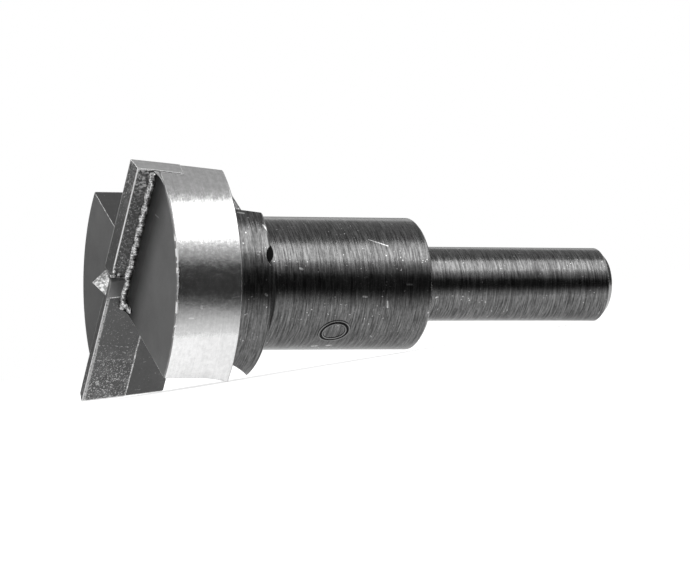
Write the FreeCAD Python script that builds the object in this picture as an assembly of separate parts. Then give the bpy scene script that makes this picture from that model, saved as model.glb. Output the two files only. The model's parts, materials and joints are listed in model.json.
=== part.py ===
import FreeCAD, Part
import math
import os

from FreeCAD import Placement, Rotation, Vector

# A carbide tipped hinge boring bit, 35 mm cut on a 9.5 mm plain shank, lying as it comes to rest.
#
# The bit is drawn about its own axis first. There the point looks up along +Z, the two cutting lips
# run along X, and each height is how far a plane lies behind the lips, so it is taken as -height.
# The bit turns counterclockwise as seen from its point. All of it has the half-turn symmetry of a
# two-winged cutter, apart from one notch in the collar's rim. At the end it is laid on the floor.
# Sizes are in millimetres and degrees.

# Turned steel blank, from the cutting end back to the shank
WING_DIAMETER = 34.8
COLLAR_DIAMETER = 24.0
BODY_DIAMETER = 16.8
SHANK_DIAMETER = 9.5
LIP_STANDOUT = 2.95
WING_LENGTH = 8.5
COLLAR_LENGTH = 6.1
BODY_LENGTH = 23.1
SHANK_LENGTH = 27.35
WING_EDGE_BREAK = 0.2
COLLAR_EDGE_BREAK = 0.2
BODY_EDGE_BREAK = 0.3
SHANK_END_CHAMFER = 0.85

# Carbide plates. Each stands on edge in a pocket in the leading face of its wing, and its ground top
# rises clear of the wing's front face
LIP_AHEAD = 1.5
RAKE_ANGLE = 10.0
FLANK_WIDTH = 1.95
FLANK_CLEARANCE = 10.0
TIP_OVERHANG = 0.1
TIP_DEPTH = 6.0

# Braze that holds the plates: a thin film in the pocket, and a bead along the foot of the bare back
BRAZE_FILM = 0.15
BEAD_HEIGHT = 0.5
BEAD_WIDTH = 0.45
BEAD_HOLLOW = 0.06
BEAD_END_GAP = 0.15

# Steel post on the axis between the plates, with the centring point as a pyramid on its top
POINT_HEIGHT = 1.75
POST_HALF_LENGTH = 1.25
POST_HALF_WIDTH = 0.93

# Gullets, one ahead of each lip, that run out through the collar
GULLET_WALL_OFFSET = 3.4
GULLET_SPREAD = 5.7
GULLET_RUNOUT_START = 7.2
GULLET_RUNOUT_RADIUS = 13.2

# Small drilled notch in the rear rim of the collar. The drill's centre lies just behind the rim
NOTCH_RADIUS = 1.6
NOTCH_DEPTH = 1.3
NOTCH_CENTRE_BEHIND_RIM = 0.86
NOTCH_ANGLE = -38.0

# Room that the cutting shapes take past the solids that they cut
MARGIN = 2.0

# Heights that follow from the sizes
WING_FRONT = -LIP_STANDOUT
WING_REAR = WING_FRONT - WING_LENGTH
COLLAR_REAR = WING_REAR - COLLAR_LENGTH
BODY_REAR = COLLAR_REAR - BODY_LENGTH
SHANK_END = BODY_REAR - SHANK_LENGTH
WING_RADIUS = WING_DIAMETER / 2
COLLAR_RADIUS = COLLAR_DIAMETER / 2
BODY_RADIUS = BODY_DIAMETER / 2
SHANK_RADIUS = SHANK_DIAMETER / 2
TIP_RADIUS = WING_RADIUS + TIP_OVERHANG
TIP_INNER_END = POST_HALF_LENGTH + BRAZE_FILM
REACH = 2 * WING_RADIUS
AXIS = Vector(0, 0, 1)
ORIGIN = Vector(0, 0, 0)


def tangent(angle):
    return math.tan(math.radians(angle))


def half_turn(shape):
    """The same shape on the other wing."""
    return shape.rotated(ORIGIN, AXIS, 180)


def prism(points, direction):
    """A closed polygon swept straight along a direction."""
    wire = Part.makePolygon(points + [points[0]])
    return Part.Face(wire).extrude(direction)


def turned_blank():
    """Wings, collar, body and shank turned from one bar, as a profile spun round the axis."""
    profile = [
        (0, WING_FRONT),
        (WING_RADIUS - WING_EDGE_BREAK, WING_FRONT),
        (WING_RADIUS, WING_FRONT - WING_EDGE_BREAK),
        (WING_RADIUS, WING_REAR + WING_EDGE_BREAK),
        (WING_RADIUS - WING_EDGE_BREAK, WING_REAR),
        (COLLAR_RADIUS, WING_REAR),
        (COLLAR_RADIUS, COLLAR_REAR + COLLAR_EDGE_BREAK),
        (COLLAR_RADIUS - COLLAR_EDGE_BREAK, COLLAR_REAR),
        (BODY_RADIUS, COLLAR_REAR),
        (BODY_RADIUS, BODY_REAR + BODY_EDGE_BREAK),
        (BODY_RADIUS - BODY_EDGE_BREAK, BODY_REAR),
        (SHANK_RADIUS, BODY_REAR),
        (SHANK_RADIUS, SHANK_END + SHANK_END_CHAMFER),
        (SHANK_RADIUS - SHANK_END_CHAMFER, SHANK_END),
        (0, SHANK_END),
    ]
    points = [Vector(radius, 0, height) for radius, height in profile]
    return Part.Face(Part.makePolygon(points + [points[0]])).revolve(ORIGIN, AXIS, 360)


def rake_y(height):
    """Where the leading face of a wing lies at a height."""
    return LIP_AHEAD + height * tangent(RAKE_ANGLE)


def land_end():
    """The rear edge of the ground land behind a lip, as its y and its height."""
    return LIP_AHEAD - FLANK_WIDTH, -FLANK_WIDTH * tangent(FLANK_CLEARANCE)


def plate_back_y(height):
    """Where the back of a plate lies at a height. It is parallel to the rake face."""
    y, top = land_end()
    return y + (height - top) * tangent(RAKE_ANGLE)


def centre_post():
    """The post on the axis, from deep in the steel up to the height of the lips, and its pyramid."""
    foot = -TIP_DEPTH
    half_x = POST_HALF_LENGTH
    half_y = POST_HALF_WIDTH
    post = Part.makeBox(2 * half_x, 2 * half_y, -foot, Vector(-half_x, -half_y, foot))
    corners = [
        Vector(half_x, half_y, 0),
        Vector(-half_x, half_y, 0),
        Vector(-half_x, -half_y, 0),
        Vector(half_x, -half_y, 0),
    ]
    tip = Vector(0, 0, POINT_HEIGHT)
    faces = [Part.Face(Part.makePolygon(corners + [corners[0]]))]
    for corner, following in zip(corners, corners[1:] + corners[:1]):
        faces.append(Part.Face(Part.makePolygon([corner, following, tip, corner])))
    return post.fuse(Part.Solid(Part.Shell(faces)))


def ahead_of_rake_face():
    """Everything on the open side of one wing's leading face, as a large tilted block."""
    size = 2 * REACH
    block = Part.makeBox(size, size, size, Vector(-size / 2, 0, -size / 2))
    block.rotate(ORIGIN, Vector(1, 0, 0), -RAKE_ANGLE)
    block.translate(Vector(0, LIP_AHEAD, 0))
    return block


def gullet():
    """The chip space ahead of one lip. Its far wall runs straight back beside the other wing and
    then sweeps outward on the milling cutter's own radius, so the gullet ends in the collar."""
    turn_height = -GULLET_RUNOUT_START
    centre = Vector(GULLET_WALL_OFFSET + GULLET_RUNOUT_RADIUS, 0, turn_height)
    wall_top = Vector(GULLET_WALL_OFFSET, 0, POINT_HEIGHT + MARGIN)
    wall_end = Vector(GULLET_WALL_OFFSET, 0, turn_height)
    sweep_end = centre - Vector(0, 0, GULLET_RUNOUT_RADIUS)
    halfway = math.radians(45)
    sweep_middle = centre - Vector(math.cos(halfway), 0, math.sin(halfway)) * GULLET_RUNOUT_RADIUS
    outer_low = Vector(sweep_end.x + REACH, 0, sweep_end.z)
    outer_high = Vector(outer_low.x, 0, wall_top.z)
    edges = [
        Part.LineSegment(wall_top, wall_end).toShape(),
        Part.Arc(wall_end, sweep_middle, sweep_end).toShape(),
        Part.LineSegment(sweep_end, outer_low).toShape(),
        Part.LineSegment(outer_low, outer_high).toShape(),
        Part.LineSegment(outer_high, wall_top).toShape(),
    ]
    section = Part.Face(Part.Wire(edges))
    section.translate(Vector(0, -REACH, 0))
    trough = section.extrude(Vector(0, 2 * REACH, 0))
    trough.rotate(ORIGIN, AXIS, GULLET_SPREAD)
    return trough.common(ahead_of_rake_face())


def plate(back_gap, end_gap, radius):
    """One carbide plate. Its front is the rake face, and its back lies parallel to that face. The
    gaps make it larger behind, below and at the inner end, for the pocket that it sits in."""
    low = -TIP_DEPTH - end_gap
    back_shift = back_gap / math.cos(math.radians(RAKE_ANGLE))
    back_y, back_top = land_end()
    inner_end = TIP_INNER_END - end_gap
    points = [
        Vector(inner_end, LIP_AHEAD, 0),
        Vector(inner_end, back_y - back_shift, back_top),
        Vector(inner_end, plate_back_y(low) - back_shift, low),
        Vector(inner_end, rake_y(low), low),
    ]
    bar = prism(points, Vector(REACH, 0, 0))
    stock = Part.makeCylinder(radius, REACH, Vector(0, 0, low - MARGIN))
    return bar.common(stock)


def cutting_tip():
    return plate(0.0, 0.0, TIP_RADIUS)


def braze_bead():
    """The hollow bead of braze in the corner between a plate's back and the wing's front face. It
    runs from near the wing's round, past the post and on to the edge of the gullet."""
    corner = Vector(0, plate_back_y(WING_FRONT), WING_FRONT)
    top_height = WING_FRONT + BEAD_HEIGHT
    top = Vector(0, plate_back_y(top_height), top_height)
    toe = corner - Vector(0, BEAD_WIDTH, 0)
    middle = (top + toe) * 0.5
    towards_corner = (corner - middle).normalize()
    edges = [
        Part.LineSegment(corner, top).toShape(),
        Part.Arc(top, middle + towards_corner * BEAD_HOLLOW, toe).toShape(),
        Part.LineSegment(toe, corner).toShape(),
    ]
    section = Part.Face(Part.Wire(edges))
    section.translate(Vector(-GULLET_WALL_OFFSET, 0, 0))
    bead = section.extrude(Vector(GULLET_WALL_OFFSET + REACH, 0, 0))
    stock = Part.makeCylinder(WING_RADIUS - BEAD_END_GAP, -WING_FRONT, Vector(0, 0, WING_FRONT))
    return bead.common(stock)


def braze_seam():
    """The film between a plate and the back, floor and inner end of its pocket, and the bead that
    runs on from it. Above the wing's front face the plate's back stays bare."""
    seated = plate(BRAZE_FILM, BRAZE_FILM, WING_RADIUS)
    bare = Part.makeBox(REACH, 2 * REACH, REACH, Vector(TIP_INNER_END, -REACH, WING_FRONT))
    film = seated.cut([bare, cutting_tip()])
    bead = braze_bead().cut([centre_post(), half_turn(seated), half_turn(gullet())])
    return film.fuse(bead).removeSplitter()


def rim_notch():
    """A shallow round notch drilled from the side, partly out over the collar's rear rim."""
    height = COLLAR_REAR - NOTCH_CENTRE_BEHIND_RIM
    start = Vector(COLLAR_RADIUS - NOTCH_DEPTH, 0, height)
    drill = Part.makeCylinder(NOTCH_RADIUS, NOTCH_DEPTH + MARGIN, start, Vector(1, 0, 0))
    return drill.rotated(ORIGIN, AXIS, NOTCH_ANGLE)


def steel_body():
    """The turned blank less its gullets, pockets and notch, with the post between the pockets."""
    space = gullet()
    pocket = plate(BRAZE_FILM, BRAZE_FILM, WING_RADIUS + MARGIN)
    cutters = [space, half_turn(space), pocket, half_turn(pocket), rim_notch()]
    return turned_blank().cut(cutters).fuse(centre_post()).removeSplitter()


def resting_placement():
    """Lay the bit on the floor with a gullet down. It stands on the two rear corners beside that
    gullet and on the rim of its shank's end, so it is rolled until those corners are level and
    tipped until the shank's rim is down too."""
    lead_y = rake_y(WING_REAR)
    lead_angle = math.degrees(math.asin(lead_y / WING_RADIUS))
    sweep = WING_REAR + GULLET_RUNOUT_START
    rise = GULLET_RUNOUT_RADIUS - math.sqrt(GULLET_RUNOUT_RADIUS**2 - sweep**2)
    wall = GULLET_WALL_OFFSET + rise
    trail_angle = GULLET_SPREAD + math.degrees(math.acos(wall / WING_RADIUS))
    middle = (lead_angle + trail_angle) / 2
    half_chord_angle = math.radians((trail_angle - lead_angle) / 2)
    drop = WING_RADIUS * math.cos(half_chord_angle)
    rim = SHANK_END + SHANK_END_CHAMFER
    tip_up = math.degrees(math.atan2(drop - SHANK_RADIUS, WING_REAR - rim))
    roll = Rotation(AXIS, -middle)
    point_left = Rotation(Vector(0, 0, 1), Vector(0, 1, 0), Vector(-1, 0, 0), "ZXY")
    tilt = Rotation(Vector(0, 1, 0), tip_up)
    turned = tilt.multiply(point_left).multiply(roll)
    return Placement(ORIGIN, turned)


def build_nodes():
    tip = cutting_tip()
    seam = braze_seam()
    return {
        "steel_body": steel_body(),
        "cutting_tip_a": tip,
        "cutting_tip_b": half_turn(tip),
        "braze_seam_a": seam,
        "braze_seam_b": half_turn(seam),
    }


def rest_on_floor(nodes):
    """Turn every piece to the resting position, then move them together so that the middle of the
    whole bit's underside is the origin."""
    placement = resting_placement()
    turned = {name: shape.transformed(placement.toMatrix()) for name, shape in nodes.items()}
    box = Part.makeCompound(list(turned.values())).optimalBoundingBox(False)
    shift = Vector(-box.Center.x, -box.Center.y, -box.ZMin)
    for shape in turned.values():
        shape.translate(shift)
    return turned


def main():
    os.makedirs("parts", exist_ok=True)
    for name, shape in rest_on_floor(build_nodes()).items():
        shape.exportStep(os.path.join("parts", name + ".step"))
        print(name, "valid", shape.isValid(), "solids", len(shape.Solids), "volume", round(shape.Volume, 3))


main()
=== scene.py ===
import json
import math

import bpy
import numpy as np
from mathutils import Matrix, Vector


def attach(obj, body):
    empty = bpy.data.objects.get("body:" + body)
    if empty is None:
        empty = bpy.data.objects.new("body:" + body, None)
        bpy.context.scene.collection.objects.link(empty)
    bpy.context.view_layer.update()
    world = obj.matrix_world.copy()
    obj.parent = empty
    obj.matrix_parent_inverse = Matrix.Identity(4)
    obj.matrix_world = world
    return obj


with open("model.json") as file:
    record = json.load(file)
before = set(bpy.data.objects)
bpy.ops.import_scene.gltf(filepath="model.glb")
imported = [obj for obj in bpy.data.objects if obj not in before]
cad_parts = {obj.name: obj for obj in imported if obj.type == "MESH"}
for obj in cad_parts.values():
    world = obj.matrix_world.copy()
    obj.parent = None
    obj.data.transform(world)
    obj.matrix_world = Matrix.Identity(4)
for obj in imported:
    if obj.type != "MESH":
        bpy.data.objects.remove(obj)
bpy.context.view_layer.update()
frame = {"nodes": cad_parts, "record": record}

# The looks of a carbide tipped hinge boring bit that lies on a pale floor.
# Places on the bit are in its own axes, in millimetres: x runs out along one lip, y is ahead of that lip,
# and z points to the centring point, so a place is "behind" the lips by -z. Everything else is in metres.

MM = 0.001

# Sizes of the bit, in millimetres, as it was built
WING_RADIUS = 17.4
COLLAR_RADIUS = 12.0
BODY_RADIUS = 8.4
WING_FRONT = 2.95
WING_REAR = 11.45
COLLAR_REAR = 17.55
LIP_AHEAD = 1.5
RAKE_SLOPE = math.tan(math.radians(10.0))
LAND_REAR_Y = -0.45
LAND_REAR_BEHIND = 0.344
GULLET_WALL = 3.4
GULLET_SPREAD = math.radians(5.7)
NOTCH_ANGLE = math.radians(-38.0)
NOTCH_BEHIND = 18.41
NOTCH_RADIUS = 1.6
NOTCH_FLOOR = 10.7

# The painted shade beside the notch, an ellipse on the body, and the direction in which the mark lies
SHADE_PATCH_BEHIND = 18.25
SHADE_PATCH_ASIDE = 1.75
SHADE_PATCH_HALF_LENGTH = 1.05
SHADE_PATCH_HALF_WIDTH = 1.55
MARK_SIDE = (0.17, -0.98)

# Brightness of the metals, from 0 for black to 1 for white, before their patterns change it
RING_BRIGHT = 0.59
OXIDE_BLACK = 0.100
OXIDE_SCRATCHED = 0.60
SATIN_GREY = 0.155
MILLED_GREY = 0.100
WORN_STEEL = 0.88
# The next two are painted shade: on the collar's rim beside the notch, and in and round the notch and along the
# corner behind the collar
RIM_SHADE_BLACK = 0.02
NOTCH_SHADE_BLACK = 0.008
# Painted shade in the mark's groove
MARK_GROOVE_SHADE = 0.012
MARK_CREST = 0.14
CARBIDE_GREY = 0.10
CARBIDE_BACK = 0.075
CARBIDE_EDGE = 0.95
BRAZE_GREY = 0.24

# Random numbers for the unevenness of the first wing's bead and drops; the second wing takes the next ones
BEAD_SEED = 11
DROP_SEED = 21

# The camera stands where the photograph was taken from, turned 3 degrees up round the bit's axis
CAMERA_PLACE = (-0.188676, -0.437396, 0.004765)
CAMERA_LOOKS = (0.394134, 0.918984, 0.011268)
CAMERA_UP = (0.141572, -0.072822, 0.987246)
FOCAL_LENGTH_PX = 3751.3
IMAGE_WIDTH_PX = 690
SENSOR_WIDTH = 36.0

# The floor, and the light over it
FLOOR_HALF_WIDTH = 6.0
WHITE = 1.0
FLOOR_GREY = 0.8
FLOOR_GLOW = 0.66
ROOM_LIGHT = 0.50
CEILING_GLOW = 0.44
CEILING_HEIGHT = 0.45
CEILING_HALF_WIDTH = 0.55
LAMP_DISTANCE = 0.5
LAMP_ELEVATION = 42.5
LAMP_WIDTH = 0.60
LAMP_HEIGHT = 0.205
KEY_AZIMUTH, KEY_RADIANCE = 48.0, 2.5
BACK_AZIMUTH, BACK_RADIANCE = 222.0, 1.9

# The cards beside the bit. Their near edge is given for places along X, and fades over shares of its distance
CARD_BLACK = 0.04
CARD_LIFT = 0.001
CARD_ALONG = (-0.40, -0.022, 0.004, 0.035, 0.70)
CARD_NEAR = (0.028, 0.028, 0.015, 0.0105, 0.0105)
CARD_FOLD = 0.10
CARD_FAR = 0.40
NEAR_SHARES = (0.72, 1.0, 1.35, 1.9)
NEAR_GLOWS = (0.95, 0.55, 0.16, 0.045)
FADE_HEIGHTS = (0.072, 0.075, 0.100, 0.120, 0.140, 0.165, 0.190, 0.215)
FADE_GLOWS = (0.08, 0.20, 0.34, 0.40, 0.46, 0.56, 0.75, 0.95)


def bit_axes():
    """Where the bit's own axes stand in the frame. The shank's mount gives the line that the bit turns about,
    and the foremost edge of one carbide plate is its lip, which gives the middle of the lips and the x direction."""
    shank = next(mount for mount in frame["record"]["mounts"] if mount["name"] == "shank")
    on_axis = np.array(shank["pos_m"])
    to_point = -np.array(shank["axis"])
    mesh = frame["nodes"]["cutting_tip_a"].data
    places = np.empty(3 * len(mesh.vertices))
    mesh.vertices.foreach_get("co", places)
    places = places.reshape(-1, 3) - on_axis
    ahead_of_mount = places @ to_point
    lips = ahead_of_mount.max()
    lip = places[ahead_of_mount > lips - 0.01 * MM]
    from_axis = np.linalg.norm(lip - np.outer(lip @ to_point, to_point), axis=1)
    along_lip = lip[from_axis.argmax()] - lip[from_axis.argmin()]
    along_lip -= to_point * (along_lip @ to_point)
    along_lip /= np.linalg.norm(along_lip)
    turning = np.stack([along_lip, np.cross(to_point, along_lip), to_point], axis=1)
    return on_axis + to_point * lips, turning


ORIGIN, TURNING = bit_axes()


def placed(points):
    """Points given in the bit's own axes, in millimetres, as points of the frame."""
    return ORIGIN + (np.asarray(points, float) * MM) @ TURNING.T


class Finish:
    """A procedural finish on the Principled shader. Its patterns read a point of the piece in the bit's own
    axes, in millimetres, so that they lie still on the bit from every side."""

    def __init__(self, name):
        self.material = bpy.data.materials.new(name)
        self.material.use_nodes = True
        self.tree = self.material.node_tree
        self.shader = self.tree.nodes["Principled BSDF"]
        coordinates = self.node("ShaderNodeTexCoord")
        mapping = self.node("ShaderNodeMapping")
        mapping.vector_type = "TEXTURE"
        mapping.inputs["Location"].default_value = ORIGIN
        mapping.inputs["Rotation"].default_value = Matrix(TURNING.tolist()).to_euler("XYZ")
        mapping.inputs["Scale"].default_value = (MM, MM, MM)
        self.tree.links.new(coordinates.outputs["Object"], mapping.inputs["Vector"])
        self.point = mapping.outputs["Vector"]
        parts = self.node("ShaderNodeSeparateXYZ")
        self.tree.links.new(self.point, parts.inputs["Vector"])
        self.x, self.y, self.z = parts.outputs
        self.behind = self.maths("MULTIPLY", self.z, -1.0)
        self.radius = self.maths("SQRT", self.add(self.times(self.x, self.x), self.times(self.y, self.y)))
        self.across = self.node("ShaderNodeCombineXYZ")
        for socket, value in zip(self.across.inputs, (self.x, self.y, self.add(self.behind, self.radius))):
            self.feed(socket, value)

    def node(self, kind):
        return self.tree.nodes.new(kind)

    def feed(self, socket, value):
        """Sets a socket to a number or colour, or links another socket to it."""
        if isinstance(value, bpy.types.NodeSocket):
            self.tree.links.new(value, socket)
        else:
            socket.default_value = value

    def maths(self, operation, *values, clamp=False):
        step = self.node("ShaderNodeMath")
        step.operation = operation
        step.use_clamp = clamp
        for socket, value in zip(step.inputs, values):
            self.feed(socket, value)
        return step.outputs["Value"]

    def add(self, *values):
        total = values[0]
        for value in values[1:]:
            total = self.maths("ADD", total, value)
        return total

    def times(self, *values):
        product = values[0]
        for value in values[1:]:
            product = self.maths("MULTIPLY", product, value)
        return product

    def less(self, a, b):
        return self.maths("SUBTRACT", a, b)

    def inverse(self, value):
        return self.maths("SUBTRACT", 1.0, value, clamp=True)

    def strongest(self, *values):
        top = values[0]
        for value in values[1:]:
            top = self.maths("MAXIMUM", top, value)
        return top

    def rise(self, value, low, high):
        """0 below low, 1 above high and a smooth step between them. It falls instead where low is above high."""
        step = self.node("ShaderNodeMapRange")
        step.interpolation_type = "SMOOTHSTEP"
        turned = low > high
        self.feed(step.inputs["Value"], value)
        step.inputs["From Min"].default_value = min(low, high)
        step.inputs["From Max"].default_value = max(low, high)
        step.inputs["To Min"].default_value = 1.0 if turned else 0.0
        step.inputs["To Max"].default_value = 0.0 if turned else 1.0
        return step.outputs["Result"]

    def between(self, value, low, high, edge):
        """1 from low to high and 0 outside them, with an edge of that width."""
        return self.times(self.rise(value, low - edge, low), self.rise(value, high + edge, high))

    def stretched(self, scale, source=None):
        """The point with each axis multiplied by its own scale, in pattern cells per millimetre."""
        step = self.node("ShaderNodeVectorMath")
        step.operation = "MULTIPLY"
        self.feed(step.inputs[0], source or self.point)
        step.inputs[1].default_value = scale
        return step.outputs["Vector"]

    def noise(self, scale, detail=2.0, roughness=0.55, source=None):
        """Cloudy noise from 0 to 1, with that many cells per millimetre along x, y and z."""
        step = self.node("ShaderNodeTexNoise")
        self.feed(step.inputs["Vector"], self.stretched(scale, source))
        step.inputs["Scale"].default_value = 1.0
        step.inputs["Detail"].default_value = detail
        step.inputs["Roughness"].default_value = roughness
        return step.outputs["Fac"]

    def turning(self, pitch, length, detail=3.0, roughness=0.6):
        """Lines that a lathe leaves, from 0 to 1: noise that is long round the axis, and that changes quickly along
        the axis on the rounds and outward on the flat faces."""
        along = self.noise((1 / length, 1 / length, 1 / pitch), detail, roughness, self.across.outputs["Vector"])
        return self.rise(along, 0.32, 0.68)

    def nicks(self, size, level, detail=1.0):
        """Small uneven spots, which are the crests of noise above that level."""
        return self.rise(self.noise((1 / size, 1 / size, 1 / size), detail, 0.6), level, level + 0.03)

    def stroke(self, start, end, width):
        """1 along a straight scratch from one place to another on the bit, and 0 beside it."""
        run = np.subtract(end, start)
        from_start = self.node("ShaderNodeVectorMath")
        from_start.operation = "SUBTRACT"
        self.feed(from_start.inputs[0], self.point)
        from_start.inputs[1].default_value = start
        share = self.node("ShaderNodeVectorMath")
        share.operation = "DOT_PRODUCT"
        self.feed(share.inputs[0], from_start.outputs["Vector"])
        share.inputs[1].default_value = run / (run @ run)
        nearest = self.node("ShaderNodeVectorMath")
        nearest.operation = "SCALE"
        nearest.inputs[0].default_value = run
        self.feed(nearest.inputs["Scale"], self.maths("ADD", share.outputs["Value"], 0.0, clamp=True))
        gap = self.node("ShaderNodeVectorMath")
        gap.operation = "DISTANCE"
        self.feed(gap.inputs[0], from_start.outputs["Vector"])
        self.feed(gap.inputs[1], nearest.outputs["Vector"])
        return self.rise(gap.outputs["Value"], 0.6 * width, 0.3 * width)

    def strokes(self, scratches):
        """All the scratches of a list of start, end and width."""
        return self.strongest(*[self.stroke(*scratch) for scratch in scratches])

    def mix(self, share, first, second):
        """A number between two numbers."""
        step = self.node("ShaderNodeMix")
        step.data_type = "FLOAT"
        self.feed(step.inputs[0], share)
        self.feed(step.inputs[2], first)
        self.feed(step.inputs[3], second)
        return step.outputs[0]

    def grey(self, value):
        """A neutral colour of that brightness."""
        step = self.node("ShaderNodeCombineColor")
        for socket in step.inputs:
            self.feed(socket, value)
        return step.outputs["Color"]

    def worn_edges(self, width):
        """How near a point is to an outer edge or corner, from 0 to 1, and the shading of a rounded edge. The
        normal of an edge rounded to that width is set against the face's own normal."""
        rounded = self.node("ShaderNodeBevel")
        rounded.samples = 6
        rounded.inputs["Radius"].default_value = width * MM
        face = self.node("ShaderNodeNewGeometry")
        agree = self.node("ShaderNodeVectorMath")
        agree.operation = "DOT_PRODUCT"
        self.tree.links.new(rounded.outputs["Normal"], agree.inputs[0])
        self.tree.links.new(face.outputs["Normal"], agree.inputs[1])
        nearness = self.rise(self.less(1.0, agree.outputs["Value"]), 0.02, 0.2)
        return nearness, rounded.outputs["Normal"]

    def bump(self, height, depth, normal=None):
        """Shading of a relief whose height runs from 0 to 1 over that depth in millimetres."""
        step = self.node("ShaderNodeBump")
        step.inputs["Strength"].default_value = 1.0
        step.inputs["Distance"].default_value = depth * MM
        self.feed(step.inputs["Height"], height)
        if normal is not None:
            self.tree.links.new(normal, step.inputs["Normal"])
        return step.outputs["Normal"]

    def finished(self, brightness, roughness, normal):
        """Closes the finish, a bare metal, with its brightness, roughness and relief."""
        self.feed(self.shader.inputs["Base Color"], self.grey(brightness))
        self.feed(self.shader.inputs["Roughness"], roughness)
        self.shader.inputs["Metallic"].default_value = 1.0
        self.tree.links.new(normal, self.shader.inputs["Normal"])
        return self.material


# Scratches that the photograph shows, as start, end and width
RING_SCRATCHES = [
    ((11.13, -13.38, -10.29), (11.50, -13.06, -11.35), 0.22),
    ((8.71, -15.07, -10.01), (8.92, -14.94, -11.29), 0.20),
    ((11.02, -13.46, -8.00), (11.02, -13.46, -8.06), 0.42),
    ((11.03, -13.46, -8.52), (11.03, -13.46, -8.58), 0.42),
    ((7.80, -15.56, -6.19), (7.60, -15.65, -6.25), 0.35),
    ((6.46, -16.15, -4.74), (6.47, -16.15, -5.25), 0.22),
]
WING_SCRATCHES = [((12.40, -3.00, -2.95), (12.80, -4.20, -2.95), 0.16)]
BODY_SCRATCHES = [
    ((8.19, -1.88, -32.60), (7.91, -2.82, -34.97), 0.16),
    ((6.31, -5.55, -22.60), (6.25, -5.62, -22.90), 0.30),
    ((4.86, -6.85, -37.00), (4.86, -6.85, -37.66), 0.24),
    ((2.96, -7.86, -34.47), (2.22, -8.10, -34.56), 0.22),
    ((-4.69, -6.97, -26.40), (-4.60, -7.03, -27.00), 0.30),
    ((-4.44, -7.13, -28.20), (-4.40, -7.16, -28.80), 0.28),
    ((3.54, -7.62, -31.10), (3.50, -7.64, -31.60), 0.26),
    ((11.45, -3.59, -17.10), (11.19, -4.33, -17.45), 0.26),
    ((11.88, -1.57, -14.30), (11.88, -1.70, -15.00), 0.26),
    ((5.92, -10.44, -16.55), (5.80, -10.50, -16.70), 0.34),
]
RAKE_SCRATCHES = [
    ((-10.08, -1.07, -2.46), (-14.57, -0.73, -4.36), 0.16),
    ((-8.64, -1.41, -0.50), (-9.47, -0.64, -4.85), 0.12),
    ((-11.02, -1.45, -0.29), (-11.40, -0.70, -4.55), 0.13),
]


def ring_finish(f):
    """The brightness and roughness of the wings' outer round, which is ground nearly to a mirror. Its place is
    everything that lies on that round."""
    waves = f.noise((0.5, 0.5, 1.2), detail=3.0)
    lines = f.turning(0.20, 4.0)
    mottling = f.noise((1.8, 1.8, 1.8), detail=4.0, roughness=0.7)
    bright = f.add(RING_BRIGHT, f.times(waves, 0.08), f.times(lines, 0.05), f.times(f.rise(mottling, 0.3, 0.7), 0.10))
    rough = f.add(0.155, f.times(f.rise(mottling, 0.3, 0.7), 0.06))
    on_round = f.rise(f.radius, WING_RADIUS - 0.12, WING_RADIUS - 0.05)
    return bright, rough, f.times(on_round, f.rise(f.behind, WING_REAR + 0.1, WING_REAR))


def clear_of_plate_shade(f):
    """0 beside a plate's back and 1 clear of it: the mask of the shade that is painted on the wings' front faces
    beside the plates, which reaches farther on the first wing."""
    from_middle = f.maths("ABSOLUTE", f.y)
    second = f.rise(f.y, -0.2, 0.2)
    return f.mix(second, f.rise(from_middle, 0.4, 7.4), f.rise(from_middle, 0.4, 3.6))


def steel_wear(f, patches):
    """Where the steel's edges and the wings' front rim are rubbed to bare metal, and the shading of its rounded
    edges. The rim is worn in the middle of each wing only, and the steel beside the plates' outer ends not at all."""
    edge, rounded = f.worn_edges(0.16)
    on_wing = f.rise(f.behind, WING_FRONT - 0.1, WING_FRONT)
    beside_plate = f.times(f.rise(f.maths("ABSOLUTE", f.y), 2.0, 1.8), f.rise(f.radius, 16.0, 16.5))
    off_post = f.strongest(f.rise(f.radius, 2.4, 3.2), f.rise(f.behind, 0.0, -0.05))
    middle = f.between(f.maths("ABSOLUTE", f.x), 4.4, 13.9, 0.5)
    kept_rim = f.times(f.rise(f.radius, WING_RADIUS - 0.7, WING_RADIUS - 0.5), f.inverse(middle), on_wing)
    worn_edge = f.times(edge, f.rise(patches, 0.36, 0.60), f.inverse(beside_plate), off_post, f.inverse(kept_rim))
    just_behind = f.rise(f.behind, WING_FRONT + 0.34, WING_FRONT + 0.24)
    rim = f.times(just_behind, f.rise(f.radius, WING_RADIUS - 0.26, WING_RADIUS - 0.16))
    worn_rim = f.times(rim, middle, f.rise(patches, 0.44, 0.52))
    return worn_edge, worn_rim, rounded


def black_oxide(f, cloud, grain, lines):
    """The brightness and roughness of black oxide on turned steel. Lathe lines run through it, some of them
    deeper or rubbed, and there are nicks and scratches down to the metal."""
    tone = f.add(0.46, f.times(lines, 0.95), f.times(f.rise(grain, 0.35, 0.65), 0.24))
    black = f.times(f.add(OXIDE_BLACK, f.times(cloud, 0.050)), tone)
    rubbed = f.times(f.nicks(0.34, 0.71), f.rise(cloud, 0.44, 0.58))
    black = f.mix(f.strongest(rubbed, f.strokes(BODY_SCRATCHES)), black, OXIDE_SCRATCHED)
    grooves = f.rise(f.turning(0.20, 4.5), 0.56, 0.68)
    ridges = f.rise(f.turning(0.17, 3.0), 0.58, 0.70)
    black = f.times(black, f.add(1.0, f.times(grooves, -0.36), f.times(ridges, 0.28)))
    return black, f.add(0.15, f.times(lines, 0.10))


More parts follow.
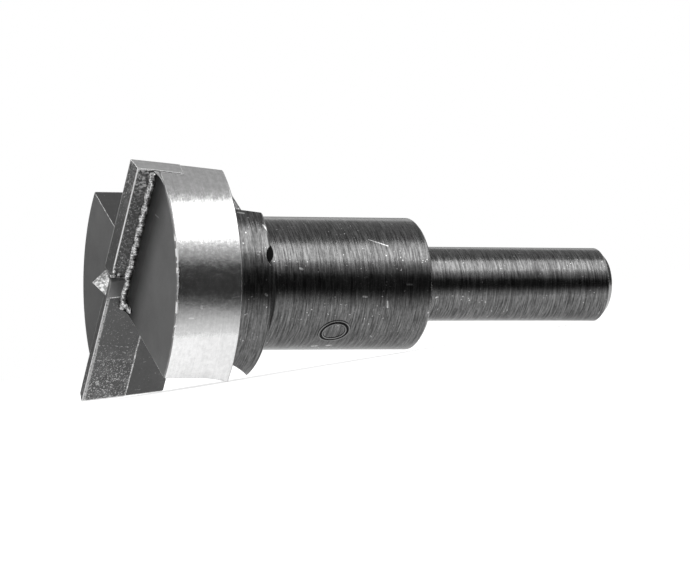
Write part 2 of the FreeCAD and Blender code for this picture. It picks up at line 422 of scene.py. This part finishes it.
def notch_shade(f):
    """Where shade is painted dark: on the collar's rear rim beside the notch, and round the drilled notch in that
    rim, on the body beside the notch and along the corner between body and collar."""
    along = f.add(f.times(f.x, math.cos(NOTCH_ANGLE)), f.times(f.y, math.sin(NOTCH_ANGLE)))
    aside = f.less(f.times(f.y, math.cos(NOTCH_ANGLE)), f.times(f.x, math.sin(NOTCH_ANGLE)))
    on_edge = f.rise(f.radius, COLLAR_RADIUS - 0.5, COLLAR_RADIUS - 0.4)
    rim = f.times(f.rise(f.behind, COLLAR_REAR - 0.32, COLLAR_REAR - 0.22), on_edge, f.rise(aside, 3.4, 2.6))

    back = f.less(f.behind, NOTCH_BEHIND)
    from_drill = f.maths("SQRT", f.add(f.times(aside, aside), f.times(back, back)))
    notch = f.times(
        f.rise(from_drill, NOTCH_RADIUS + 0.06, NOTCH_RADIUS + 0.02),
        f.rise(along, NOTCH_FLOOR - 0.3, NOTCH_FLOOR - 0.2),
        f.rise(f.behind, COLLAR_REAR + 0.05, COLLAR_REAR + 0.01),
    )

    # Painted shade on the body beside the notch, an ellipse
    lengthwise = f.times(f.less(f.behind, SHADE_PATCH_BEHIND), 1 / SHADE_PATCH_HALF_LENGTH)
    crosswise = f.times(f.less(aside, SHADE_PATCH_ASIDE), 1 / SHADE_PATCH_HALF_WIDTH)
    from_shade_patch = f.add(f.times(lengthwise, lengthwise), f.times(crosswise, crosswise))
    shade_patch = f.times(f.rise(from_shade_patch, 1.1, 0.9), f.rise(along, 0.0, 1.0))
    towards_mark = f.times(f.add(f.times(f.x, MARK_SIDE[0]), f.times(f.y, MARK_SIDE[1])), 1 / BODY_RADIUS)
    corner = f.rise(f.less(f.behind, f.times(towards_mark, 1.6)), COLLAR_REAR + 0.30, COLLAR_REAR + 0.14)
    on_body = f.rise(f.radius, BODY_RADIUS + 2.6, BODY_RADIUS + 2.5)
    on_body = f.times(f.rise(f.behind, COLLAR_REAR - 0.02, COLLAR_REAR), on_body)
    return rim, f.strongest(notch, f.times(on_body, f.strongest(shade_patch, f.times(corner, 0.75))))


def satin_ground(f, cloud, grain, pits):
    """The brightness of the satin ground faces of the cutting end, with painted shade beside the plates' backs and a
    scratch.
    """
    satin = f.add(SATIN_GREY, f.times(cloud, 0.12), f.times(grain, 0.06))
    satin = f.mix(f.times(pits, 0.35), satin, 0.30)
    # Painted shade: the faces darken towards the plates' backs, where the plates shade them
    unshaded = f.strongest(clear_of_plate_shade(f), f.rise(f.behind, WING_FRONT - 0.70, WING_FRONT - 0.80))
    satin = f.times(satin, f.add(0.07, f.times(unshaded, 0.93)))
    return f.mix(f.strokes(WING_SCRATCHES), satin, 0.30)


def blackened_steel():
    """Turned steel with a black oxide skin. The wings are ground bright on their outside, the cutting end is
    ground satin grey, and edges and high spots are rubbed through to bare metal."""
    f = Finish("blackened_steel")
    cloud = f.noise((0.25, 0.25, 0.25), detail=4.0)
    patches = f.noise((0.9, 0.9, 0.9), detail=3.0)
    grain = f.noise((3.0, 3.0, 3.0), detail=3.0)
    pits = f.nicks(0.30, 0.66, detail=3.0)
    lines = f.add(f.times(f.turning(0.20, 2.6), 0.55), f.times(f.turning(0.10, 1.4), 0.45))
    worn_edge, worn_rim, rounded = steel_wear(f, patches)
    brightness, black_rough = black_oxide(f, cloud, grain, lines)
    bright, bright_rough, outside = ring_finish(f)
    shaded_rim, notch_and_corner_shade = notch_shade(f)

    # The milled walls beside the plates, the ground front, the wings' round, and the struck centring point
    inside_round = f.rise(f.radius, WING_RADIUS - 0.02, WING_RADIUS - 0.12)
    walls = f.times(f.rise(f.behind, WING_REAR + 1.0, WING_REAR - 1.0), inside_round)
    milled = f.times(f.add(MILLED_GREY, f.times(grain, 0.04)), f.add(0.80, f.times(cloud, 0.4)))
    front = f.rise(f.behind, WING_FRONT + 0.12, WING_FRONT + 0.02)
    point = f.rise(f.behind, 0.0, -0.05)
    struck = f.rise(f.noise((2.6, 2.6, 2.6), detail=3.0), 0.42, 0.62)
    brightness = f.mix(walls, brightness, f.mix(pits, milled, 0.30))
    brightness = f.mix(front, brightness, satin_ground(f, cloud, grain, pits))
    brightness = f.mix(outside, brightness, f.mix(f.strokes(RING_SCRATCHES), bright, 0.95))
    brightness = f.mix(point, brightness, f.add(0.30, f.times(struck, 0.55)))
    brightness = f.mix(f.strongest(f.times(worn_edge, 0.9), worn_rim), brightness, WORN_STEEL)
    # Painted shade: the collar's rim beside the notch, the notch, the body beside it and the corner behind the collar
    # are darkened
    brightness = f.mix(f.times(shaded_rim, 0.85), brightness, RIM_SHADE_BLACK)
    brightness = f.mix(notch_and_corner_shade, brightness, NOTCH_SHADE_BLACK)

    satin_rough = f.add(0.40, f.times(grain, 0.1))
    roughness = f.mix(f.strongest(front, walls), black_rough, satin_rough)
    roughness = f.mix(outside, roughness, bright_rough)
    roughness = f.mix(f.strongest(worn_edge, worn_rim), roughness, 0.5)
    roughness = f.mix(notch_and_corner_shade, roughness, 0.6)
    ripple = f.times(outside, f.noise((1.1, 1.1, 1.1), detail=3.0), 1.8)
    relief = f.add(f.times(lines, 0.5), f.times(grain, 0.3), f.times(patches, 0.5), ripple)
    return f.finished(brightness, roughness, f.bump(relief, 0.010, rounded))


def stamped_steel():
    """The steel of the blank mark, with rubbed crests and painted shade in its groove."""
    f = Finish("blackened_steel.mark")
    grain = f.noise((3.0, 3.0, 3.0), detail=3.0)
    crest = f.rise(f.radius, BODY_RADIUS + 0.05, BODY_RADIUS + 0.085)
    _, rounded = f.worn_edges(0.05)
    # Painted shade: the groove below the crests is near black
    brightness = f.mix(crest, MARK_GROOVE_SHADE, f.add(MARK_CREST, f.times(grain, 0.16)))
    return f.finished(brightness, f.mix(crest, 0.5, 0.24), rounded)


def carbide():
    """Sintered carbide. The lands and rake faces are ground satin and a little nicked, and the backs that stand
    clear of the steel are rough and dark."""
    f = Finish("carbide")
    grain = f.noise((4.0, 4.0, 4.0), detail=3.0)
    cloud = f.noise((0.5, 0.5, 0.5), detail=3.0)
    edge, rounded = f.worn_edges(0.18)
    pits = f.nicks(0.26, 0.64, detail=2.0)
    outward = f.rise(f.radius, 7.0, 15.0)
    dots = f.rise(f.add(f.noise((4.5, 4.5, 4.5), detail=2.0), f.times(outward, 0.09)), 0.67, 0.71)

    # The rake faces, more nicked towards the outside
    grey = f.add(CARBIDE_GREY, f.times(cloud, 0.05), f.times(grain, 0.04))
    stains = f.rise(f.noise((0.7, 0.7, 0.7), detail=5.0, roughness=0.7), 0.46, 0.60)
    grey = f.times(grey, f.add(0.84, f.times(stains, outward, 0.45)))
    grey = f.mix(f.times(f.strongest(pits, dots), f.add(0.35, f.times(outward, 0.5))), grey, 0.60)
    broken = f.rise(f.noise((3.0, 3.0, 3.0), detail=2.0), 0.50, 0.60)
    grey = f.mix(f.times(f.strokes(RAKE_SCRATCHES), broken), grey, 0.40)

    # The rough backs, which start at the land's rear edge on either plate
    from_rear_edge = f.maths("ABSOLUTE", f.add(f.y, f.times(f.maths("SIGN", f.x), -LAND_REAR_Y)))
    below_land = f.rise(f.behind, LAND_REAR_BEHIND + 0.05, LAND_REAR_BEHIND + 0.15)
    back_face = f.times(f.rise(from_rear_edge, 0.75, 0.60), below_land)
    rough_back = f.mix(f.rise(grain, 0.50, 0.62), CARBIDE_BACK, 0.16)
    rough_back = f.mix(f.nicks(0.22, 0.66), rough_back, 0.45)
    crusted = f.times(f.rise(f.radius, 12.5, 15.5), f.rise(f.noise((3.4, 3.4, 3.4), detail=2.0), 0.47, 0.60))
    rough_back = f.mix(f.times(crusted, 0.8), rough_back, 0.55)
    grey = f.mix(back_face, grey, rough_back)

    # The lands, and the bright lines along the lips and the lands' rear edges
    off_post = f.rise(f.radius, 1.9, 3.0)
    land = f.rise(f.behind, LAND_REAR_BEHIND + 0.12, LAND_REAR_BEHIND + 0.02)
    grey = f.times(grey, f.add(1.0, f.times(land, 0.55)))
    ahead = f.rise(f.maths("ABSOLUTE", f.y), LIP_AHEAD - 0.14, LIP_AHEAD - 0.09)
    lip = f.times(ahead, f.rise(f.behind, 0.52, 0.40))
    grey = f.mix(f.times(lip, f.rise(grain, 0.34, 0.50)), grey, 0.46)
    near_land = f.rise(f.behind, LAND_REAR_BEHIND + 0.16, LAND_REAR_BEHIND + 0.10)
    rear_edge = f.times(f.rise(from_rear_edge, 0.13, 0.07), near_land)
    grey = f.mix(f.times(rear_edge, f.rise(grain, 0.28, 0.44), off_post), grey, 0.60)

    # The ends that were ground round with the wings, and the worn edges
    bright, bright_rough, outside = ring_finish(f)
    grey = f.mix(outside, grey, bright)
    unbroken = f.strongest(f.rise(grain, 0.36, 0.56), f.times(f.rise(f.behind, 0.52, 0.42), 0.8))
    chipped = f.rise(f.noise((1.3, 1.3, 1.3), detail=3.0, roughness=0.7), 0.46, 0.56)
    unbroken = f.mix(f.rise(f.behind, 2.5, 3.5), unbroken, chipped)
    shown_edge = f.times(edge, unbroken, off_post, f.inverse(outside))
    grey = f.mix(shown_edge, grey, CARBIDE_EDGE)
    roughness = f.mix(outside, f.add(0.34, f.times(grain, 0.12)), bright_rough)
    relief = f.mix(back_face, f.times(grain, 0.4), f.times(grain, 2.0))
    return f.finished(grey, roughness, f.bump(relief, 0.010, rounded))


def braze():
    """Silver braze, lumpy and bright, which was ground off with the wings' outer round."""
    f = Finish("braze")
    cloud = f.noise((1.8, 1.8, 1.8), detail=3.0, roughness=0.65)
    grain = f.noise((5.5, 5.5, 5.5), detail=2.0)
    dull = f.add(BRAZE_GREY, f.times(f.rise(cloud, 0.40, 0.58), 0.22), f.times(f.rise(grain, 0.42, 0.58), 0.50))
    bright, bright_rough, outside = ring_finish(f)
    outside = f.strongest(outside, f.rise(f.radius, WING_RADIUS - 0.30, WING_RADIUS - 0.22))
    brightness = f.mix(outside, dull, bright)
    relief = f.mix(outside, f.add(cloud, f.times(grain, 0.6)), 0.5)
    return f.finished(brightness, f.mix(outside, 0.34, bright_rough), f.bump(relief, 0.05))


def dress_nodes(finishes):
    """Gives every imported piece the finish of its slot."""
    for piece in frame["nodes"].values():
        for place in piece.material_slots:
            place.material = finishes[place.material.name.split(".")[0]]


def plain_mesh(name, points, faces, material):
    """A new object at the origin, whose place is in its mesh."""
    mesh = bpy.data.meshes.new(name)
    mesh.from_pydata(np.asarray(points).tolist(), [], faces)
    mesh.materials.append(material)
    piece = bpy.data.objects.new(name, mesh)
    bpy.context.scene.collection.objects.link(piece)
    return piece


def skinned(name, loops, material, closed=False):
    """A piece skinned over a row of loops of points, given in the bit's own axes. The first and the last loop are
    capped, or joined to each other where it is closed. Its faces look outward, away from the loops' middles."""
    loops = np.asarray(loops, float)
    count, around = loops.shape[:2]
    index = np.arange(count * around).reshape(count, around)
    rows = np.vstack([index, index[:1]]) if closed else index
    turned = np.roll(rows, -1, axis=1)
    quads = np.stack([rows[:-1], turned[:-1], turned[1:], rows[1:]], axis=-1).reshape(-1, 4)
    faces = quads.tolist()
    if not closed:
        faces += [index[0][::-1].tolist(), index[-1].tolist()]
    points = loops.reshape(-1, 3)
    a, b, c = (points[quads[:, corner]] for corner in (0, 1, 2))
    middles = np.repeat(loops.mean(axis=1), around, axis=0)
    outward = np.einsum("ij,ij->", np.cross(b - a, c - a), a - middles[quads[:, 0]])
    if outward < 0:
        faces = [face[::-1] for face in faces]
    piece = plain_mesh(name, placed(points), faces, material)
    piece.data.polygons.foreach_set("use_smooth", np.ones(len(faces), bool))
    piece.data.set_sharp_from_angle(angle=math.radians(40.0))
    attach(piece, "root")


def half_turned(points, wing):
    """Points of the first wing as they are, or turned half round the axis for the second."""
    return np.asarray(points) * ((1, 1, 1) if wing == 0 else (-1, -1, 1))


def unevenness(rng, along, around, waves=9):
    """A smooth uneven height, mostly from -1 to 1. It is the sum of waves with random lengths along the piece,
    whole numbers of crests round it and random phases, over the root of half their number."""
    total = np.zeros(np.broadcast(along, around).shape)
    for _ in range(waves):
        length, crests, phase = rng.uniform(0.7, 3.6), rng.integers(0, 4), rng.uniform(0, 2 * math.pi)
        total += np.sin(2 * math.pi * along / length + crests * around + phase)
    return total / math.sqrt(waves / 2)


def braze_bead(wing, material):
    """The lumpy bead of braze along the foot of a plate's back. Its loops are circles across its line, whose
    radius and middle wander by an unevenness, and it thins out to a round end at both ends."""
    start, end, half_thickness, end_length = -3.05, 17.22, 0.45, 0.35
    rng = np.random.default_rng(BEAD_SEED + wing)
    along = np.linspace(start, end, 700)[:, None]
    around = np.linspace(0, 2 * math.pi, 36, endpoint=False)[None, :]
    beside_post = 0.5 - 0.5 * np.tanh((along + 1.45) / 0.12)
    middle_y = -0.96 - 0.36 * beside_post + 0.02 * unevenness(rng, along, 0.0, 5)
    middle_z = -2.36 + 0.03 * unevenness(rng, along, 0.0, 5)
    rounding = np.clip(np.minimum(along - start, end - along) / end_length, 0.0, 1.0)
    ends = 0.25 + 0.75 * np.sqrt(1 - (1 - rounding) ** 2)
    fine = 0.026 * unevenness(rng, 3 * along, around) + 0.022 * unevenness(rng, 7 * along, 2 * around)
    radius = (half_thickness + 0.03 * unevenness(rng, along, around) + fine) * ends
    y, z = middle_y + radius * np.cos(around), middle_z + radius * np.sin(around)
    loops = np.stack(np.broadcast_arrays(along, y, z), axis=-1)
    skinned(f"braze_bead_{'ab'[wing]}", half_turned(loops, wing), material)


def braze_drops(wing, material):
    """Spilt drops of braze near the inner end of a plate, each with its middle and its half sizes. Each is a row
    of circles whose radius follows an ellipse and an unevenness."""
    rng = np.random.default_rng(DROP_SEED + wing)
    drops = [
        ((-2.25, -2.05, -2.80), (0.42, 0.95, 0.30)),
        ((1.42, -0.62, -0.50), (0.26, 0.22, 0.42)),
        ((2.02, -0.52, -0.55), (0.36, 0.14, 0.22)),
        ((2.80, -0.54, -0.55), (0.24, 0.11, 0.18)),
        ((1.70, -0.66, -1.20), (0.34, 0.15, 0.26)),
    ]
    for number, (middle, half) in enumerate(drops):
        level = np.linspace(-0.995, 0.995, 24)[:, None]
        around = np.linspace(0, 2 * math.pi, 28, endpoint=False)[None, :]
        swell = 1 + 0.10 * unevenness(rng, level, around, 6)
        reach = np.sqrt(1 - level**2) * swell
        loops = np.stack(np.broadcast_arrays(reach * np.cos(around), reach * np.sin(around), level), axis=-1)
        loops = loops * half + middle
        skinned(f"braze_drop_{'ab'[wing]}_{number + 1}", half_turned(loops, wing), material)


def slot_fill(wing, material):
    """Braze that fills the slot between the post and the inner end of a plate, level with the plate's own
    land, back and rake face."""
    behind = np.array([0.03, 0.34, 1.2, 2.2, 2.96])
    ahead_y = LIP_AHEAD - RAKE_SLOPE * behind - 0.03
    rear_y = np.where(behind < LAND_REAR_BEHIND, -0.42, LAND_REAR_Y - (behind - LAND_REAR_BEHIND) * RAKE_SLOPE + 0.03)
    outline = np.concatenate([np.stack([ahead_y, -behind], axis=1), np.stack([rear_y, -behind], axis=1)[::-1]])
    loops = [[(x, y, z) for y, z in outline] for x in (1.22, 1.43)]
    skinned(f"braze_fill_{'ab'[wing]}", half_turned(loops, wing), material)


def post_cheek(wing, material):
    """The side of the post, brought out level with the other plate's rake face, with a flat top just below the
    lips."""
    behind = np.array([0.03, 2.97])
    out_y = -(LIP_AHEAD - RAKE_SLOPE * behind) + 0.01
    outline = [(out_y[0], -behind[0]), (out_y[1], -behind[1]), (-0.85, -behind[1]), (-0.85, -behind[0])]
    loops = [[(x, y, z) for y, z in outline] for x in (-1.42, 1.22)]
    skinned(f"post_cheek_{'ab'[wing]}", half_turned(loops, wing), material)


def wing_blend(wing, material):
    """The hollow blend that the milling cutter left between a wing's front face and the foot of the plate. Its
    top is part of a circle that starts level with the face and rises towards the plate's back, and it ends on the
    wing's round and on the gullet's wall."""
    start_y, top_y, rise = -3.3, -0.80, 0.66
    run = top_y - start_y
    bend = (run**2 + rise**2) / (2 * rise)
    y = np.linspace(start_y, top_y, 40)
    top_z = -WING_FRONT - 0.004 + bend - np.sqrt(bend**2 - (y - start_y) ** 2)
    outline_y = np.concatenate([y, [top_y, start_y]])
    outline_z = np.concatenate([top_z, [-WING_FRONT - 0.05, -WING_FRONT - 0.05]])
    outer = np.sqrt((WING_RADIUS - 0.02) ** 2 - outline_y**2)
    inner = (-GULLET_WALL + 0.02 - outline_y * math.sin(GULLET_SPREAD)) / math.cos(GULLET_SPREAD)
    share = np.linspace(0, 1, 60)[:, None]
    x = inner + (outer - inner) * share
    loops = np.stack(np.broadcast_arrays(x, outline_y, outline_z), axis=-1)
    skinned(f"wing_blend_{'ab'[wing]}", half_turned(loops, wing), material)


def blank_mark(material):
    """A plain oval ring pressed into the body, in the place of the photograph's stamped mark. Its loops cross
    two low crests with a groove between them, and follow an ellipse that is wrapped round the body."""
    middle_behind, middle_angle, tilt = 28.15, math.radians(-99.8), math.radians(11.8)
    half_length, half_width = 1.76, 1.52
    turn = np.linspace(0, 2 * math.pi, 120, endpoint=False)[:, None]
    offset = np.array([-0.40, -0.32, -0.26, -0.18, -0.09, 0.09, 0.18, 0.26, 0.32, 0.40, 0.20, -0.20])[None, :]
    height = np.array([-0.03, 0.07, 0.12, 0.11, 0.006, 0.006, 0.11, 0.12, 0.07, -0.03, -0.08, -0.08])[None, :]
    long_way = (half_length + offset) * np.cos(turn)
    short_way = (half_width + offset) * np.sin(turn)
    behind = middle_behind + long_way * math.cos(tilt) - short_way * math.sin(tilt)
    angle = middle_angle + (long_way * math.sin(tilt) + short_way * math.cos(tilt)) / BODY_RADIUS
    radius = BODY_RADIUS + height
    loops = np.stack(np.broadcast_arrays(radius * np.cos(angle), radius * np.sin(angle), -behind), axis=-1)
    skinned("blank_mark", loops, material, closed=True)


def add_small_pieces(finishes):
    """The small pieces that only the looks need: the same ones on both wings, and the mark."""
    for wing in (0, 1):
        wing_blend(wing, finishes["blackened_steel"])
        post_cheek(wing, finishes["blackened_steel"])
        braze_bead(wing, finishes["braze"])
        braze_drops(wing, finishes["braze"])
        slot_fill(wing, finishes["braze"])
    blank_mark(finishes["stamped_steel"])


def shown_to_eye_and_mirror(tree):
    """1 for rays from the camera and for those that gloss or glass sends on, and 0 for the rest."""
    rays = tree.nodes.new("ShaderNodeLightPath")
    seen = rays.outputs["Is Camera Ray"]
    for other in ("Is Glossy Ray", "Is Transmission Ray"):
        step = tree.nodes.new("ShaderNodeMath")
        step.operation = "MAXIMUM"
        tree.links.new(seen, step.inputs[0])
        tree.links.new(rays.outputs[other], step.inputs[1])
        seen = step.outputs["Value"]
    return seen


def matt(name, brightness):
    """A new matt grey material without any gloss, with its nodes and its shader."""
    material = bpy.data.materials.new(name)
    material.use_nodes = True
    tree = material.node_tree
    shader = tree.nodes["Principled BSDF"]
    shader.inputs["Base Color"].default_value = (brightness, brightness, brightness, 1.0)
    shader.inputs["Roughness"].default_value = 1.0
    shader.inputs["Specular IOR Level"].default_value = 0.0
    shader.inputs["Emission Color"].default_value = (1.0, 1.0, 1.0, 1.0)
    return material, tree, shader


def pale_floor():
    """A wide flat floor. It is lit like anything else, and glows a little to the eye so that it runs into the
    white background but keeps the bit's shadow."""
    material, tree, shader = matt("pale_floor", FLOOR_GREY)
    glow = tree.nodes.new("ShaderNodeMath")
    glow.operation = "MULTIPLY"
    glow.inputs[1].default_value = FLOOR_GLOW
    tree.links.new(shown_to_eye_and_mirror(tree), glow.inputs[0])
    tree.links.new(glow.outputs["Value"], shader.inputs["Emission Strength"])
    side = FLOOR_HALF_WIDTH
    corners = [(-side, -side, 0), (side, -side, 0), (side, side, 0), (-side, side, 0)]
    floor = plain_mesh("floor", corners, [(0, 1, 2, 3)], material)


def white_room():
    """An even room light, with a background that is white to the eye and in reflections."""
    world = bpy.data.worlds.new("room")
    bpy.context.scene.world = world
    world.use_nodes = True
    tree = world.node_tree
    background = tree.nodes["Background"]
    background.inputs["Color"].default_value = (1.0, 1.0, 1.0, 1.0)
    level = tree.nodes.new("ShaderNodeMapRange")
    level.inputs["To Min"].default_value = ROOM_LIGHT
    level.inputs["To Max"].default_value = WHITE
    tree.links.new(shown_to_eye_and_mirror(tree), level.inputs["Value"])
    tree.links.new(level.outputs["Result"], background.inputs["Strength"])


def around(azimuth, elevation, distance):
    """A place at a distance from the origin. Azimuth 0 is the side towards -Y, and 90 towards +X."""
    turn, rise = math.radians(azimuth), math.radians(elevation)
    flat = distance * math.cos(rise)
    return (flat * math.sin(turn), -flat * math.cos(turn), distance * math.sin(rise))


def soft_lamp(name, azimuth, radiance):
    """A rectangular soft box that faces the bit. Its power follows from its area and its radiance."""
    place = around(azimuth, LAMP_ELEVATION, LAMP_DISTANCE)
    lamp = bpy.data.lights.new(name, "AREA")
    lamp.shape = "RECTANGLE"
    lamp.size = LAMP_WIDTH
    lamp.size_y = LAMP_HEIGHT
    lamp.energy = radiance * math.pi * LAMP_WIDTH * LAMP_HEIGHT
    stand = bpy.data.objects.new(name, lamp)
    stand.location = place
    stand.rotation_euler = (-Vector(place)).to_track_quat("-Z", "Y").to_euler()
    stand.visible_camera = False
    bpy.context.scene.collection.objects.link(stand)


def reflected_only(piece):
    """Makes a card show only in reflections, as a photographer uses one to draw soft bands along bright metal."""
    piece.visible_camera = False
    piece.visible_diffuse = False
    piece.visible_shadow = False
    piece.visible_transmission = False


def sheet_of_rows(name, rows, material):
    """A flat or folded sheet through rows of points."""
    points = np.asarray(rows, float)
    count, columns = points.shape[:2]
    index = np.arange(count * columns).reshape(count, columns)
    quads = np.stack([index[:-1, :-1], index[:-1, 1:], index[1:, 1:], index[1:, :-1]], axis=-1).reshape(-1, 4)
    return plain_mesh(name, points.reshape(-1, 3), quads.tolist(), material)


def glowing_card(name, rows, glows):
    """A card with one glow for each row of its points, which runs smoothly from row to row."""
    material, tree, shader = matt(name, 0.0)
    glow = tree.nodes.new("ShaderNodeAttribute")
    glow.attribute_name = "glow"
    tree.links.new(glow.outputs["Fac"], shader.inputs["Emission Strength"])
    piece = sheet_of_rows(name, rows, material)
    shine = piece.data.attributes.new("glow", "FLOAT", "POINT")
    shine.data.foreach_set("value", np.repeat(np.array(glows, float), len(rows[0])))
    reflected_only(piece)


def low_card(name, side):
    """A black card that lies just over the floor beside the bit and rises to its far side. Its near edge follows
    the width of the bit and fades into the floor, and over its far side a card fades from black to white. Side is
    -1 for the front and 1 for the back."""
    material, _, _ = matt(name, CARD_BLACK)
    lying = [
        [(x, side * near * share, CARD_LIFT) for x, near in zip(CARD_ALONG, CARD_NEAR)] for share in NEAR_SHARES
    ]
    folded = [(x, side * CARD_FOLD, CARD_LIFT) for x in CARD_ALONG]
    standing = [[(x, side * CARD_FAR, height) for x in CARD_ALONG] for height in FADE_HEIGHTS]
    reflected_only(sheet_of_rows(name, [lying[-1], folded, standing[0]], material))
    glowing_card(name + "_near_edge", lying, NEAR_GLOWS)
    glowing_card(name + "_fade", standing, FADE_GLOWS)


def ceiling_card():
    """A grey ceiling, which keeps the tops of bright rounds from going white."""
    half = CEILING_HALF_WIDTH
    rows = [[(-half, y, CEILING_HEIGHT), (half, y, CEILING_HEIGHT)] for y in (-half, half)]
    glowing_card("ceiling_card", rows, [CEILING_GLOW, CEILING_GLOW])


def light_it():
    """The room, the floor, the cards and the two lamps."""
    white_room()
    pale_floor()
    low_card("front_card", -1)
    low_card("back_card", 1)
    ceiling_card()
    soft_lamp("key_lamp", KEY_AZIMUTH, KEY_RADIANCE)
    soft_lamp("back_lamp", BACK_AZIMUTH, BACK_RADIANCE)


def photograph_camera():
    """The camera that the photograph's perspective gives, with its image centre on the lens axis."""
    lens = bpy.data.cameras.new("camera")
    lens.sensor_width = SENSOR_WIDTH
    lens.lens = FOCAL_LENGTH_PX * SENSOR_WIDTH / IMAGE_WIDTH_PX
    lens.clip_start = 0.01
    lens.clip_end = 50.0
    camera = bpy.data.objects.new("camera", lens)
    back = -Vector(CAMERA_LOOKS).normalized()
    right = Vector(CAMERA_UP).cross(back).normalized()
    turning = Matrix([right, back.cross(right), back]).transposed().to_4x4()
    camera.matrix_world = Matrix.Translation(CAMERA_PLACE) @ turning
    bpy.context.scene.collection.objects.link(camera)
    bpy.context.scene.camera = camera


finishes = {
    "blackened_steel": blackened_steel(),
    "stamped_steel": stamped_steel(),
    "carbide": carbide(),
    "braze": braze(),
}
dress_nodes(finishes)
add_small_pieces(finishes)
light_it()
photograph_camera()
bpy.context.scene.view_settings.view_transform = "Standard"
